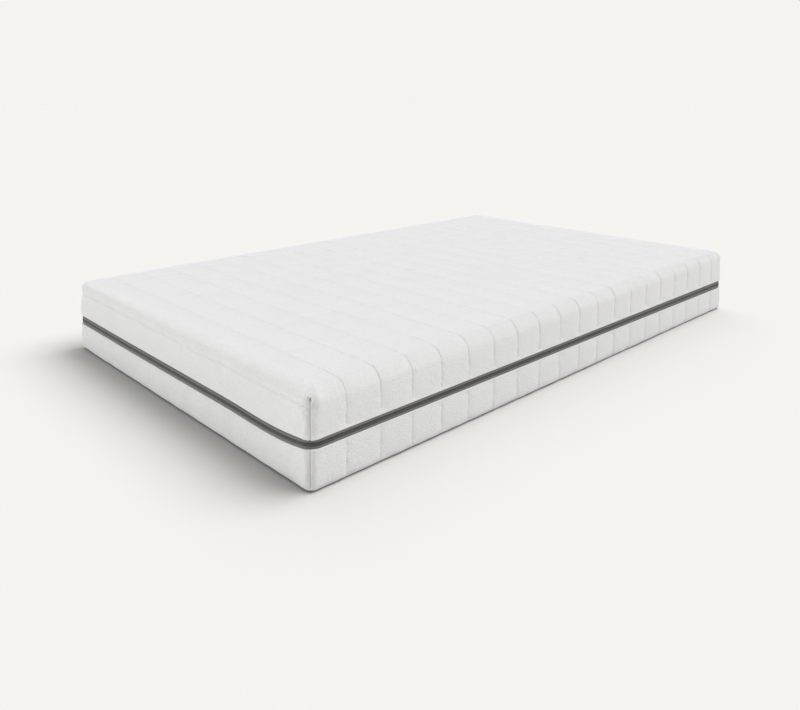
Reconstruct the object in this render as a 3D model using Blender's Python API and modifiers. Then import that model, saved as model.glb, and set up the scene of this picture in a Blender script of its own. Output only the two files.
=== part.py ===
"""Memory foam mattress, 120 x 200 x 22 cm, with a quilted cover in two halves.

The two halves of the cover meet at a zip that runs round all four sides. Inside are a
memory foam layer and a support foam core. The underside is at z = 0, the length runs
along Y with the foot at -Y, and the slider of the zip is on the -X side.
"""

import bmesh
import bpy
from mathutils import Matrix, Vector

# Driving dimensions, in metres
WIDTH = 1.200
LENGTH = 2.000
HEIGHT = 0.220
SOFT_EDGE_RADIUS = 0.034
BASE_EDGE_RADIUS = 0.014
EDGE_SEGMENTS = 4
GAP = 0.0003
CORNER_EASE = 0.0015
FOAM_CLEARANCE = 0.0012

# The quilted cover, from the outside in
KNIT_THICKNESS = 0.0014
WADDING_THICKNESS = 0.0060
LINING_THICKNESS = 0.0008
WADDING_INSET = KNIT_THICKNESS + GAP
LINING_INSET = WADDING_INSET + WADDING_THICKNESS + GAP
FOAM_INSET = LINING_INSET + LINING_THICKNESS + FOAM_CLEARANCE

# The zip band between the two halves
BAND_CENTRE_Z = 0.0964
BAND_HEIGHT = 0.0226
TAPE_INSET = KNIT_THICKNESS + GAP
TAPE_THICKNESS = 0.0008
TAPE_BEHIND_HEM = 0.0040
COIL_THICKNESS = TAPE_INSET - GAP
COIL_WIDTH = 0.0023
POST_THICKNESS = 0.0010
MEETING_GAP = POST_THICKNESS / 2 + GAP

# The foam
MEMORY_FOAM_HEIGHT = 0.050
FOAM_BASE_RADIUS = 0.0080
GROOVE_WIDTH = 0.008
GROOVE_DEPTH = 0.028
GROOVE_PITCH = 0.080
GROOVE_COUNT = 23

# The slider, which parks where the coil's two ends meet, near the head
SLIDER_Y = 0.930
SLIDER_LENGTH = 0.0120
PLATE_THICKNESS = 0.0013
FLANGE_WIDTH = 0.0012
POST_LENGTH = 0.0030
COIL_GAP_LENGTH = 0.0200
STOP_LENGTH = 0.0030
BAIL_LENGTH = 0.0096
BAIL_WIDTH = 0.0024
BAIL_HEIGHT = 0.0035
BAIL_THICKNESS = 0.0011
HINGE_HEIGHT = 0.00105
TAB_LENGTH = 0.0270
TAB_WIDTH = 0.0074
TAB_THICKNESS = 0.0014
TAB_BAR = 0.0014
TAB_SLOT_LENGTH = 0.0056
TAB_SLOT_WIDTH = 0.0034

TOLERANCE = 1e-6

COLOURS = {
    "knit": (0.86, 0.86, 0.85),
    "wadding": (0.90, 0.90, 0.88),
    "lining": (0.78, 0.79, 0.80),
    "memory_foam": (0.90, 0.86, 0.70),
    "support_foam": (0.72, 0.80, 0.86),
    "tape": (0.19, 0.19, 0.20),
    "coil": (0.10, 0.10, 0.11),
    "metal": (0.55, 0.55, 0.56),
}


def clear_scene():
    for obj in list(bpy.data.objects):
        bpy.data.objects.remove(obj, do_unlink=True)


def new_collection(name):
    collection = bpy.data.collections.new(name)
    bpy.context.scene.collection.children.link(collection)
    return collection


def principled(name, colour, roughness=0.9, metallic=0.0):
    material = bpy.data.materials.new(name)
    material.use_nodes = True
    shader = material.node_tree.nodes["Principled BSDF"]
    shader.inputs["Base Color"].default_value = (*colour, 1.0)
    shader.inputs["Roughness"].default_value = roughness
    shader.inputs["Metallic"].default_value = metallic
    return material


def group_empty(name, location=(0.0, 0.0, 0.0), parent=None, turn=None):
    """An empty that its body's pieces hang on; a moving body's empty is on its axis."""
    empty = bpy.data.objects.new(name, None)
    empty.empty_display_size = 0.05
    empty.location = location
    if turn is not None:
        empty.rotation_euler = turn.to_euler()
    empty.parent = parent
    parts.objects.link(empty)
    return empty


def block(name, low, high, radii=(0.0, 0.0, 0.0), segments=EDGE_SEGMENTS, walls_only=False):
    """A box between two corners; radii are for its upright, top and bottom edges."""
    low, high = Vector(low), Vector(high)
    bm = bmesh.new()
    bmesh.ops.create_cube(bm, size=1.0)
    bmesh.ops.scale(bm, vec=high - low, verts=bm.verts)
    if walls_only:
        ends = [face for face in bm.faces if abs(face.normal.z) > 0.5]
        bmesh.ops.delete(bm, geom=ends, context="FACES")
    upright, top, bottom = radii
    widest = max(radii)
    if widest:
        weight = bm.edges.layers.float.new("bevel_weight_edge")
        for edge in bm.edges:
            z_one, z_two = (vert.co.z for vert in edge.verts)
            if abs(z_one - z_two) > TOLERANCE:
                edge[weight] = upright / widest
            else:
                edge[weight] = (top if z_one > 0 else bottom) / widest
    mesh = bpy.data.meshes.new(name)
    bm.to_mesh(mesh)
    bm.free()
    obj = bpy.data.objects.new(name, mesh)
    obj.location = (low + high) / 2
    if widest:
        bevel = obj.modifiers.new("Rounded edges", "BEVEL")
        bevel.limit_method = "WEIGHT"
        bevel.width = widest
        bevel.segments = segments
    return obj


def as_part(obj, material, parent):
    obj.data.materials.append(material)
    obj.parent = parent
    parts.objects.link(obj)
    return obj


def as_cutter(obj, parent=None):
    obj.hide_render = True
    obj.display_type = "WIRE"
    obj.parent = parent
    cutters.objects.link(obj)
    return obj


def combine(obj, operation, other):
    boolean = obj.modifiers.new(f"{operation.title()} {other.name}", "BOOLEAN")
    boolean.operation = operation
    boolean.solver = "EXACT"
    boolean.object = other


def plan_corners(inset, z_low, z_high):
    """The low and high corners of the mattress's outline, moved in by inset."""
    x, y = WIDTH / 2 - inset, LENGTH / 2 - inset
    return (-x, -y, z_low), (x, y, z_high)


def eased(radius, inset):
    """The radius of a layer's outer edge: inner layers are a little rounder than their shell."""
    return radius - inset + (CORNER_EASE if inset else 0.0)


def lower_layer(name, inset, thickness, z_top, material, parent):
    """A tray: one layer of the lower cover half, with its base and its side walls."""
    radii = (eased(SOFT_EDGE_RADIUS, inset), 0.0, eased(BASE_EDGE_RADIUS, inset))
    tray = block(name, *plan_corners(inset, inset, z_top), radii)
    inner = inset + thickness
    inner_radii = (SOFT_EDGE_RADIUS - inner, 0.0, BASE_EDGE_RADIUS - inner)
    hollow_corners = plan_corners(inner, inner, z_top + SOFT_EDGE_RADIUS)
    hollow = as_cutter(block(f"{name}_hollow", *hollow_corners, inner_radii))
    combine(tray, "DIFFERENCE", hollow)
    return as_part(tray, material, parent)


def upper_layer(name, inset, thickness, z_bottom, material, parent):
    """A cap: one layer of the upper cover half, with its lying surface and side walls."""
    radius = eased(SOFT_EDGE_RADIUS, inset)
    cap = block(name, *plan_corners(inset, z_bottom, HEIGHT - inset), (radius, radius, 0.0))
    inner = inset + thickness
    radius = SOFT_EDGE_RADIUS - inner
    hollow_corners = plan_corners(inner, z_bottom - SOFT_EDGE_RADIUS, HEIGHT - inner)
    hollow = as_cutter(block(f"{name}_hollow", *hollow_corners, (radius, radius, 0.0)))
    combine(cap, "DIFFERENCE", hollow)
    return as_part(cap, material, parent)


def ribbon(name, inset, thickness, z_low, z_high, material, parent):
    """A flat strip on edge that runs round all four sides."""
    radii = (eased(SOFT_EDGE_RADIUS, inset), 0.0, 0.0)
    strip = block(name, *plan_corners(inset, z_low, z_high), radii, walls_only=True)
    wall = strip.modifiers.new("Tape thickness", "SOLIDIFY")
    wall.thickness = thickness
    wall.offset = -1.0
    return as_part(strip, material, parent)


def zip_half(side, parent, z_sign):
    """Tape, coil and end stop of one half; z_sign is +1 above the meeting line."""
    near = BAND_CENTRE_Z + z_sign * MEETING_GAP
    tape_edge = BAND_CENTRE_Z + z_sign * (BAND_HEIGHT / 2 + TAPE_BEHIND_HEM)
    coil_edge = near + z_sign * COIL_WIDTH
    tape_z = sorted((near, tape_edge))
    coil_z = sorted((near, coil_edge))
    ribbon(f"{side}_zip_tape", TAPE_INSET, TAPE_THICKNESS, *tape_z, materials["tape"], parent)
    coil = ribbon(f"{side}_zip_coil", 0.0, COIL_THICKNESS, *coil_z, materials["coil"], parent)

    gap_start = SLIDER_Y - SLIDER_LENGTH / 2 - GAP
    gap_low = (-WIDTH / 2 - COIL_WIDTH, gap_start, coil_z[0] - COIL_WIDTH)
    gap_high = (-WIDTH / 2 + COIL_WIDTH, gap_start + COIL_GAP_LENGTH, coil_z[1] + COIL_WIDTH)
    combine(coil, "DIFFERENCE", as_cutter(block(f"{side}_coil_gap", gap_low, gap_high)))

    stop_start = SLIDER_Y + SLIDER_LENGTH / 2 + GAP
    stop_low = (-WIDTH / 2, stop_start, coil_z[0])
    stop_high = (-WIDTH / 2 + COIL_THICKNESS, stop_start + STOP_LENGTH, coil_z[1])
    stop = block(f"{side}_end_stop", stop_low, stop_high, (0.0003,) * 3, segments=2)
    as_part(stop, materials["metal"], parent)


def memory_foam(parent):
    radius = eased(SOFT_EDGE_RADIUS, FOAM_INSET)
    top = HEIGHT - FOAM_INSET
    corners = plan_corners(FOAM_INSET, top - MEMORY_FOAM_HEIGHT, top)
    layer = block("memory_foam_layer", *corners, (radius, radius, 0.0))
    as_part(layer, materials["memory_foam"], parent)


def support_foam(parent):
    """The thick lower block, with grooves across its underside that let it bend and breathe."""
    radius = eased(SOFT_EDGE_RADIUS, FOAM_INSET)
    top = HEIGHT - FOAM_INSET - MEMORY_FOAM_HEIGHT - GAP
    corners = plan_corners(FOAM_INSET, FOAM_INSET, top)
    core = block("support_foam_core", *corners, (radius, 0.0, FOAM_BASE_RADIUS))
    for index in range(GROOVE_COUNT):
        y = (index - (GROOVE_COUNT - 1) / 2) * GROOVE_PITCH
        low = (-WIDTH, y - GROOVE_WIDTH / 2, -GROOVE_DEPTH)
        high = (WIDTH, y + GROOVE_WIDTH / 2, FOAM_INSET + GROOVE_DEPTH)
        combine(core, "DIFFERENCE", as_cutter(block(f"groove_{index + 1:02d}", low, high)))
    as_part(core, materials["support_foam"], parent)


def slider_block(name, low, high, radius=0.0):
    radii = (radius, radius, radius)
    return block(name, low, high, radii, segments=2)


def zip_slider(parent):
    """The slider in its own frame: x along the zip, z out of the mattress's side."""
    half_length = SLIDER_LENGTH / 2
    flange_inner = MEETING_GAP + COIL_WIDTH + GAP
    half_width = flange_inner + FLANGE_WIDTH
    outer_low = GAP
    outer_high = outer_low + PLATE_THICKNESS
    inner_high = -(TAPE_INSET + TAPE_THICKNESS + GAP)
    inner_low = inner_high - PLATE_THICKNESS
    embed = PLATE_THICKNESS / 2

    body = slider_block(
        "zip_slider_body",
        (-half_length, -half_width, outer_low),
        (half_length, half_width, outer_high),
        radius=0.0004,
    )
    inner_plate = slider_block(
        "slider_inner_plate",
        (-half_length, -half_width, inner_low),
        (half_length, half_width, inner_high),
        radius=0.0004,
    )
    post = slider_block(
        "slider_post",
        (half_length - 2 * embed - POST_LENGTH, -POST_THICKNESS / 2, inner_low + embed),
        (half_length - 2 * embed, POST_THICKNESS / 2, outer_high - embed),
    )
    flange_low = -(TAPE_INSET - GAP)
    flanges = []
    for side in (-1, 1):
        y_low, y_high = sorted((side * flange_inner, side * (half_width - 0.0002)))
        flanges.append(
            slider_block(
                f"slider_flange_{'lower' if side > 0 else 'upper'}",
                (-half_length + 0.0005, y_low, flange_low),
                (half_length - 0.0005, y_high, outer_high - embed),
            )
        )
    bail = slider_block(
        "slider_bail",
        (-BAIL_LENGTH / 2, -BAIL_WIDTH / 2, outer_high - embed),
        (BAIL_LENGTH / 2, BAIL_WIDTH / 2, outer_high + BAIL_HEIGHT),
        radius=0.0005,
    )
    bail_inside = slider_block(
        "slider_bail_inside",
        (-BAIL_LENGTH / 2 + BAIL_THICKNESS, -BAIL_WIDTH, outer_high - 2 * embed),
        (BAIL_LENGTH / 2 - BAIL_THICKNESS, BAIL_WIDTH, outer_high + BAIL_HEIGHT - BAIL_THICKNESS),
    )
    combine(bail, "DIFFERENCE", as_cutter(bail_inside, parent))
    for piece in (inner_plate, post, *flanges, bail):
        combine(body, "UNION", as_cutter(piece, parent))
    as_part(body, materials["metal"], parent)
    return outer_high


def pull_tab(parent):
    """The tab in the slider's frame, with its hinge bar on the y axis, lying towards -x."""
    half_bar, half_thickness = TAB_BAR / 2, TAB_THICKNESS / 2
    tab = slider_block(
        "zip_pull_tab",
        (-TAB_LENGTH, -TAB_WIDTH / 2, -half_thickness),
        (half_bar, TAB_WIDTH / 2, half_thickness),
        radius=0.0004,
    )
    slot = slider_block(
        "pull_tab_slot",
        (-half_bar - TAB_SLOT_LENGTH, -TAB_SLOT_WIDTH / 2, -TAB_WIDTH),
        (-half_bar, TAB_SLOT_WIDTH / 2, TAB_WIDTH),
    )
    combine(tab, "DIFFERENCE", as_cutter(slot, parent))
    as_part(tab, materials["metal"], parent)


clear_scene()
parts = new_collection("memory_foam_mattress")
cutters = new_collection("cutters")
materials = {
    name: principled(
        name,
        colour,
        roughness=0.35 if name == "metal" else 0.9,
        metallic=1.0 if name == "metal" else 0.0,
    )
    for name, colour in COLOURS.items()
}

band_low = BAND_CENTRE_Z - BAND_HEIGHT / 2
band_high = BAND_CENTRE_Z + BAND_HEIGHT / 2
padding_top = band_low - TAPE_BEHIND_HEM - GAP
padding_bottom = band_high + TAPE_BEHIND_HEM + GAP

base_cover = group_empty("base_cover")
lower_layer("bottom_cover_knit", 0.0, KNIT_THICKNESS, band_low, materials["knit"], base_cover)
lower_layer(
    "bottom_cover_wadding",
    WADDING_INSET,
    WADDING_THICKNESS,
    padding_top,
    materials["wadding"],
    base_cover,
)
lower_layer(
    "bottom_cover_lining",
    LINING_INSET,
    LINING_THICKNESS,
    padding_top,
    materials["lining"],
    base_cover,
)
zip_half("lower", base_cover, -1)

foam_core = group_empty("foam_core", parent=base_cover)
support_foam(foam_core)
memory_foam(foam_core)

top_cover = group_empty("top_cover", parent=foam_core)
upper_layer("top_cover_knit", 0.0, KNIT_THICKNESS, band_high, materials["knit"], top_cover)
upper_layer(
    "top_cover_wadding",
    WADDING_INSET,
    WADDING_THICKNESS,
    padding_bottom,
    materials["wadding"],
    top_cover,
)
upper_layer(
    "top_cover_lining",
    LINING_INSET,
    LINING_THICKNESS,
    padding_bottom,
    materials["lining"],
    top_cover,
)
zip_half("upper", top_cover, 1)

# The slider's empty has its x along the zip, towards the head, and its z out of the side.
out_of_side = Matrix(((0, 0, -1), (1, 0, 0), (0, -1, 0)))
slider_frame = group_empty(
    "zip_slider", (-WIDTH / 2, SLIDER_Y, BAND_CENTRE_Z), base_cover, out_of_side
)
plate_face = zip_slider(slider_frame)
tab_hinge = group_empty("pull_tab_hinge", (0.0, 0.0, plate_face + HINGE_HEIGHT), slider_frame)
pull_tab(tab_hinge)
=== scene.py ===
import math

import bmesh
import bpy
import numpy as np
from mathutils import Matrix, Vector


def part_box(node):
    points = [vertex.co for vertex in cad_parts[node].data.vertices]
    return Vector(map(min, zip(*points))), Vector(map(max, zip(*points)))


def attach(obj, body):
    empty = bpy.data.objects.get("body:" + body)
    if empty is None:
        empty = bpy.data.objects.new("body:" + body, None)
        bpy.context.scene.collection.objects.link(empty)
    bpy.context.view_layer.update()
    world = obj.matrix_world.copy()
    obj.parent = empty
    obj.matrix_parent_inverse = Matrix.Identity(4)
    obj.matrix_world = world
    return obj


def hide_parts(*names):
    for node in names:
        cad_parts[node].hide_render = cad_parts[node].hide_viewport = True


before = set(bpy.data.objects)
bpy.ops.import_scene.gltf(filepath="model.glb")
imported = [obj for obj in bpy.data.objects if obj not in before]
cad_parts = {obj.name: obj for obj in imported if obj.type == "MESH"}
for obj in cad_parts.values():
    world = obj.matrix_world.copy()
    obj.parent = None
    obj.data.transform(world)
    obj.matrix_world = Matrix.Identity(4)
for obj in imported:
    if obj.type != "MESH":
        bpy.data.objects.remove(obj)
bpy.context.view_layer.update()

bl_info = {
    "name": "Quilted foam mattress",
    "version": (1, 0, 0),
    "blender": (4, 5, 0),
    "location": "View3D > Sidebar > Mattress",
    "description": "Builds the quilted cover, zip and foam of a mattress round its packed frame",
    "category": "Object",
}

MM = 0.001

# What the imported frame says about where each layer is
top_low, top_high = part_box("top_cover_knit")
base_low, base_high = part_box("bottom_cover_knit")
HALF_WIDTH = top_high.x
HALF_LENGTH = top_high.y
TOP_Z = top_high.z
UPPER_RIM_Z = top_low.z
LOWER_RIM_Z = base_high.z
MEETING_Z = (UPPER_RIM_Z + LOWER_RIM_Z) / 2
WADDING_INSET = HALF_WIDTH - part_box("top_cover_wadding")[1].x
LINING_INSET = HALF_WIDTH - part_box("top_cover_lining")[1].x
TAPE_TOP_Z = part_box("upper_zip_tape")[1].z
TAPE_BOTTOM_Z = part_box("lower_zip_tape")[0].z
SLIDER_START_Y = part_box("zip_slider_body")[0].y
STOP_END_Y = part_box("upper_end_stop")[1].y

# Sizes inside the zip and the cover, in metres
TAPE_THICKNESS = 0.0007
TAPE_STEP = 0.006
ZIP_WIDER_BY = 0.010
COIL_INSET = 0.0009
LAYER_GAP = 0.0003
THINNEST_WADDING = 0.0008
STITCH_RISE = 0.0001
COIL_OVERLAP = 0.0004
COIL_STANDS_OFF = 0.00125

# Where the upright corner seams start, from the face of the top half (1) and of the base (-1)
SEAM_START = {1: 0.0125, -1: 0.004}

# The foam is divided at this step, and takes this share of the cover's give above this height
FOAM_STEP = 0.04
PRESSED_FOAM = 0.5
PRESSED_FROM_Z = 0.15

# How finely each face is divided across the width, and how long the cloth simulation runs
FACE_STEPS, BASE_STEPS = 104, 60
SETTLING_FRAMES = 20

# Each lamp's name, what it lights, strength, spread, turn and rise (the last three in degrees)
LAMPS = (
    ("floor_light", "floor", 4.10, 50.0, 14.0, 56.0),
    ("floor_back_light", "floor", 1.35, 70.0, 90.0, 54.0),
    ("key_light", "mattress", 1.68, 16.0, 4.0, 50.0),
    ("foot_end_fill", "mattress", 1.80, 40.0, 180.0, 8.0),
)
DOME_STRENGTH = 0.6
BACKDROP_COLOUR = (0.905, 0.896, 0.863, 1.0)
LAMP_DISTANCE = 6.0
FLOOR_SIZE = 60.0
WHITE = (1.0, 1.0, 1.0)


# ---------------------------------------------------------------- settings


def length(name, description, default, **limits):
    return bpy.props.FloatProperty(
        name=name, description=description, default=default, unit="LENGTH", precision=5, **limits
    )


def colour(name, description, default):
    return bpy.props.FloatVectorProperty(
        name=name, description=description, default=default, subtype="COLOR", min=0.0, max=1.0
    )


class CoverSettings(bpy.types.PropertyGroup):
    """Sizes of the quilted cover."""

    channels: bpy.props.IntProperty(
        name="Channels", description="Quilted channels along the length", default=20, min=2
    )
    crown: length("Crown", "How far a channel stands above its stitched lines", 0.0009)
    groove: length("Groove", "Extra depth of the stitched line itself", 0.0013)
    groove_width: length("Groove width", "Half width of the stitched line's groove", 0.0022)
    lip: length("Lip", "Height of the fold on the foot end's side of a stitched line", 0.0006)
    puff: length("Puff", "Most that the filling may push a channel out", 0.0011)
    end_line_z: length("End line height", "Height of the stitched line across each end", 0.1805)
    knit_thickness: length("Knit", "Thickness of the knitted face fabric", 0.0014)
    lining_thickness: length("Lining", "Thickness of the non-woven backing", 0.0008)
    soft_edge: length("Soft edge", "Radius of the upper edge", 0.034)
    corner_radius: length("Corner", "Radius of the upright corners at the zip", 0.024)
    edge_ease: length("Edge ease", "How far the filling gives way along the upper edge", 0.0040)
    base_edge: length("Base edge", "Radius of the lower edge", 0.010)
    hem_roll: length("Hem roll", "How far the cloth turns in at the zip", 0.0009)
    pucker: length("Pucker", "Height of the small waves beside a stitched line", 0.00025)
    stitch_pitch: length("Stitch", "Distance from one quilting stitch to the next", 0.0053)
    thread: length("Thread", "Thickness of the quilting thread", 0.0006)
    knit_colour: colour("Knit colour", "Colour of the knitted fabric", (0.762, 0.762, 0.762))
    lining_colour: colour("Lining colour", "Colour of the backing", (0.72, 0.73, 0.74))
    wadding_colour: colour("Wadding colour", "Colour of the fibre layer", (0.84, 0.84, 0.82))
    thread_colour: colour("Thread colour", "Colour of the thread", (0.80, 0.80, 0.80))


class ZipSettings(bpy.types.PropertyGroup):
    """Sizes of the zip that joins the two halves of the cover."""

    tooth_pitch: length("Tooth pitch", "Distance from one coil turn to the next", 0.0021)
    tooth_width: length("Tooth width", "Length of a coil turn across the zip", 0.00245)
    tooth_height: length("Tooth height", "Height of the coil above its tape", 0.0014)
    corner_rise: length("Corner rise", "How far the zip rides up at the front corner", 0.0062)
    sag: length("Sag", "How far the zip hangs down beside that corner, on the foot end", 0.0043)
    tape_colour: colour("Tape colour", "Colour of the woven tape", (0.155, 0.155, 0.155))
    coil_colour: colour("Coil colour", "Colour of the nylon coil", (0.115, 0.115, 0.118))
    metal_colour: colour("Metal colour", "Colour of the slider", (0.50, 0.50, 0.51))


class FoamSettings(bpy.types.PropertyGroup):
    """Looks of the foam inside."""

    memory_colour: colour("Memory foam", "Colour of the memory foam", (0.88, 0.84, 0.68))
    support_colour: colour("Support foam", "Colour of the support foam", (0.66, 0.75, 0.82))


class StageSettings(bpy.types.PropertyGroup):
    """Camera, light and floor."""

    floor_colour: colour("Floor", "Colour of the floor", (0.448, 0.444, 0.428))
    camera_place: bpy.props.FloatVectorProperty(
        name="Camera", description="Where the camera stands", default=(1.7313, -1.8836, 0.8129),
        subtype="TRANSLATION",
    )
    camera_turn: bpy.props.FloatProperty(
        name="Turn", description="Camera heading from +Y towards -X", subtype="ANGLE",
        default=math.radians(48.082),
    )
    camera_tilt: bpy.props.FloatProperty(
        name="Tilt", description="Camera tilt below the horizon", subtype="ANGLE",
        default=math.radians(5.268),
    )
    lens: bpy.props.FloatProperty(name="Lens", description="Focal length in mm", default=33.23)
    shift_x: bpy.props.FloatProperty(name="Shift X", description="Sideways shift", default=0.0522)
    shift_y: bpy.props.FloatProperty(name="Shift Y", description="Upright shift", default=-0.24)


# ---------------------------------------------------------------- node helpers


def new_material(name):
    material = bpy.data.materials.new(name)
    material.use_nodes = True
    return material, material.node_tree


def node(tree, kind, settings=None, **values):
    """A node of that kind, with its settings, and its inputs set or linked by name."""
    made = tree.nodes.new(kind)
    for key, value in (settings or {}).items():
        setattr(made, key, value)
    for key, value in values.items():
        socket = made.inputs[int(key[1:])] if key[0] == "i" and key[1:].isdigit() else (
            made.inputs[key.replace("_", " ")]
        )
        if isinstance(value, bpy.types.NodeSocket):
            tree.links.new(value, socket)
        else:
            socket.default_value = value
    return made


def math_node(tree, operation, first, second=0.5):
    return node(tree, "ShaderNodeMath", {"operation": operation}, i0=first, i1=second).outputs[0]


def scaled(tree, vector, scale, turn=0.0):
    """The vector turned about Z, then scaled along each axis."""
    turned = node(tree, "ShaderNodeMapping", None, Vector=vector, Rotation=(0, 0, turn)).outputs[0]
    return node(tree, "ShaderNodeMapping", None, Vector=turned, Scale=scale).outputs[0]


def texture(tree, kind, vector, scale=1.0, settings=None, output="Fac", **values):
    """The output of a texture node of that kind."""
    made = node(tree, f"ShaderNodeTex{kind}", settings, Vector=vector, Scale=scale, **values)
    return made.outputs[output]


def coordinates(tree, kind):
    return node(tree, "ShaderNodeTexCoord").outputs[kind]


def shaded(tree, factor, shade, *stops):
    """A colour ramp of the shade; each stop is a position and a strength."""
    made = node(tree, "ShaderNodeValToRGB", None, Fac=factor)
    elements = made.color_ramp.elements
    while len(elements) < len(stops):
        elements.new(0.5)
    for element, (position, strength) in zip(elements, stops):
        element.position = position
        element.color = (*(min(1.0, channel * strength) for channel in shade), 1.0)
    return made.outputs[0]


def multiplied(tree, first, second):
    """Two colours multiplied."""
    settings = {"data_type": "RGBA", "blend_type": "MULTIPLY"}
    return node(tree, "ShaderNodeMix", settings, i0=1.0, i6=first, i7=second).outputs[2]


def bump(tree, height, distance, strength=1.0, normal=None):
    made = node(tree, "ShaderNodeBump", None, Height=height, Distance=distance, Strength=strength)
    if normal is not None:
        tree.links.new(normal, made.inputs["Normal"])
    return made.outputs[0]


def surface(tree, colour, normal, **values):
    """Links the colour and the normal to the shader, and sets its other inputs by name."""
    inputs = tree.nodes["Principled BSDF"].inputs
    tree.links.new(colour, inputs["Base Color"])
    if normal is not None:
        tree.links.new(normal, inputs["Normal"])
    for key, value in values.items():
        inputs[key.replace("_", " ")].default_value = value


# ---------------------------------------------------------------- materials


def knit_material(name, shade):
    """Double-faced jersey: rows of small loops over a slanting relief, with a slight pile."""
    material, tree = new_material(name)
    flat, place = coordinates(tree, "UV"), coordinates(tree, "Object")
    slant = math.radians(68.0)
    loops = texture(
        tree, "Voronoi", scaled(tree, flat, (480.0, 620.0, 1.0), slant),
        settings={"feature": "SMOOTH_F1"}, output="Distance", Randomness=0.35, Smoothness=0.6,
    )
    slants = texture(
        tree, "Noise", scaled(tree, flat, (130.0, 360.0, 1.0), slant),
        Detail=2.5, Roughness=0.55, Distortion=0.6,
    )
    grain = texture(tree, "Noise", place, 360.0, Detail=4.0, Roughness=0.62)
    patches = texture(tree, "Noise", place, 9.0, Detail=3.0, Roughness=0.5)
    height = math_node(tree, "ADD", math_node(tree, "MULTIPLY", loops, -0.25), grain)
    colour = multiplied(
        tree,
        shaded(tree, patches, shade, (0.3, 0.985), (0.7, 1.01)),
        shaded(tree, slants, WHITE, (0.30, 0.925), (0.62, 1.0)),
    )
    normal = bump(tree, slants, 0.0024, 0.65, bump(tree, height, 0.0008, 0.55))
    surface(
        tree, colour, normal, Roughness=0.92, Sheen_Weight=0.30, Sheen_Roughness=0.5,
        Specular_IOR_Level=0.2,
    )
    return material


def lining_material(name, shade):
    """Spun-bonded backing with a fine grid of bonded dots."""
    material, tree = new_material(name)
    flat = coordinates(tree, "UV")
    dots = texture(
        tree, "Voronoi", scaled(tree, flat, (330.0, 330.0, 1.0), math.radians(45)),
        output="Distance", Randomness=0.0,
    )
    fibres = texture(tree, "Noise", scaled(tree, flat, (900.0, 240.0, 1.0)), Detail=5.0)
    pressed = shaded(tree, dots, WHITE, (0.18, 0.0), (0.34, 1.0))
    height = math_node(tree, "ADD", pressed, math_node(tree, "MULTIPLY", fibres, 0.8))
    colour = shaded(tree, fibres, shade, (0.3, 0.9), (0.7, 1.06))
    surface(tree, colour, bump(tree, height, 0.0002, 0.7), Roughness=0.8)
    return material


def wadding_material(name, shade):
    """Loose polyester fibre."""
    material, tree = new_material(name)
    fibres = texture(
        tree, "Noise", scaled(tree, coordinates(tree, "Object"), (160.0, 420.0, 700.0)),
        Detail=6.0, Roughness=0.7, Distortion=1.2,
    )
    colour = shaded(tree, fibres, shade, (0.35, 0.9), (0.65, 1.05))
    surface(tree, colour, bump(tree, fibres, 0.0012, 0.8), Roughness=1.0, Sheen_Weight=0.3)
    return material


def thread_material(name, shade):
    """Twisted polyester thread."""
    material, tree = new_material(name)
    diagonal = {"bands_direction": "DIAGONAL"}
    twist = texture(tree, "Wave", coordinates(tree, "Object"), 900.0, diagonal, Distortion=0.5)
    colour = shaded(tree, twist, shade, (0.2, 0.88), (0.8, 1.04))
    surface(tree, colour, bump(tree, twist, 0.0001, 0.6), Roughness=0.55)
    return material


def tape_material(shade):
    """Woven zip tape: fine slanting ribs and a pale line of sewing, with painted shade beside the
    coil and where the tape turns in under the hem.
    """
    material, tree = new_material("zip_tape_weave")
    flat = coordinates(tree, "UV")
    across = node(tree, "ShaderNodeSeparateXYZ", None, Vector=flat).outputs["Y"]
    ribs = texture(
        tree, "Wave", scaled(tree, flat, (110.0, 260.0, 1.0)),
        settings={"bands_direction": "DIAGONAL"}, Distortion=0.8, Detail=2.0,
    )
    warp = texture(
        tree, "Wave", scaled(tree, flat, (1.0, 190.0, 1.0)),
        settings={"bands_direction": "Y"}, Distortion=0.2,
    )
    fuzz = texture(tree, "Noise", scaled(tree, flat, (420.0, 900.0, 1.0)), Detail=4.0)
    height = math_node(tree, "ADD", ribs, math_node(tree, "MULTIPLY", warp, 0.6))
    place = node(tree, "ShaderNodeMapRange", None, Value=across, From_Max=0.010).outputs[0]
    # Painted shade: the tape is darker beside the coil, as if in the shade of its bed, and darker
    # again where it turns in under the hem; the pale line between is the sewing.
    painted_shade_and_sewing_line = shaded(
        tree, place, shade, (0.0, 0.62), (0.34, 0.68), (0.42, 0.95), (0.55, 1.10), (0.62, 1.35),
        (0.70, 0.95), (1.0, 0.75),
    )
    grain = math_node(tree, "MULTIPLY", math_node(tree, "ADD", ribs, fuzz), 0.5)
    colour = multiplied(tree, painted_shade_and_sewing_line, shaded(tree, grain, WHITE, (0.25, 0.80), (0.75, 1.0)))
    surface(tree, colour, bump(tree, height, 0.0003, 0.7), Roughness=0.75, Sheen_Weight=0.12)
    return material


def coil_material(shade):
    """Moulded nylon monofilament."""
    material, tree = new_material("zip_coil_nylon")
    streaks = texture(tree, "Noise", coordinates(tree, "Object"), 420.0, Detail=2.0)
    colour = shaded(tree, streaks, shade, (0.3, 0.8), (0.7, 1.25))
    surface(tree, colour, bump(tree, streaks, 0.0001, 0.3), Roughness=0.42)
    return material


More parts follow.
